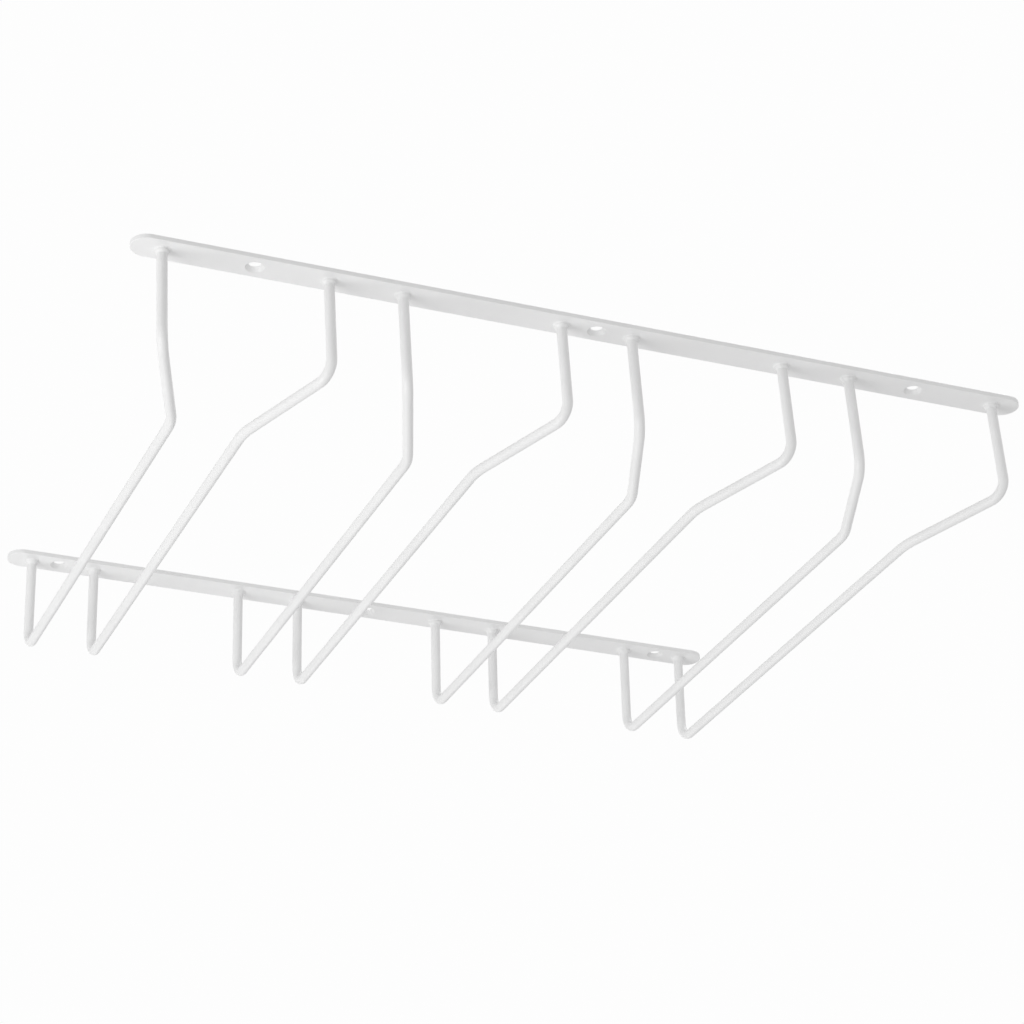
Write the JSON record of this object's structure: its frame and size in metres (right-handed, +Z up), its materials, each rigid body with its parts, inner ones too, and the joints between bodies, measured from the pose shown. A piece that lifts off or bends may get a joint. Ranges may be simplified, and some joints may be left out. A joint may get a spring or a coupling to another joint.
{
  "type": "hanging wine glass rack",
  "caption": "White wire rack that hangs stemmed glasses by their feet under a shelf: funnel mouths lead into parallel slots between bent wires welded to two flat screw rails.",
  "frame": {"origin": "in the mounting plane, where the rails' flat tops meet the shelf, on the rack's middle line and midway between the two rails' centrelines", "axes": "+Z up into the shelf, +X along the rails to the right as seen from the mouths, and -Y out through the mouths towards the user"},
  "size_m": [0.4534, 0.3378, 0.0589],
  "materials": {
    "powder_coat": "satin white powder coat over steel, with a very fine orange peel"
  },
  "bodies": {
    "root": {"front_rail": "powder_coat", "rear_rail": "powder_coat", "wire_1_left": "powder_coat", "wire_1_right": "powder_coat", "wire_2_left": "powder_coat", "wire_2_right": "powder_coat", "wire_3_left": "powder_coat", "wire_3_right": "powder_coat", "wire_4_left": "powder_coat", "wire_4_right": "powder_coat", "weld_front_1_left": "powder_coat", "weld_front_1_right": "powder_coat", "weld_front_2_left": "powder_coat", "weld_front_2_right": "powder_coat", "weld_front_3_left": "powder_coat", "weld_front_3_right": "powder_coat", "weld_front_4_left": "powder_coat", "weld_front_4_right": "powder_coat", "weld_rear_1_left": "powder_coat", "weld_rear_1_right": "powder_coat", "weld_rear_2_left": "powder_coat", "weld_rear_2_right": "powder_coat", "weld_rear_3_left": "powder_coat", "weld_rear_3_right": "powder_coat", "weld_rear_4_left": "powder_coat", "weld_rear_4_right": "powder_coat"}
  },
  "joints": []
}
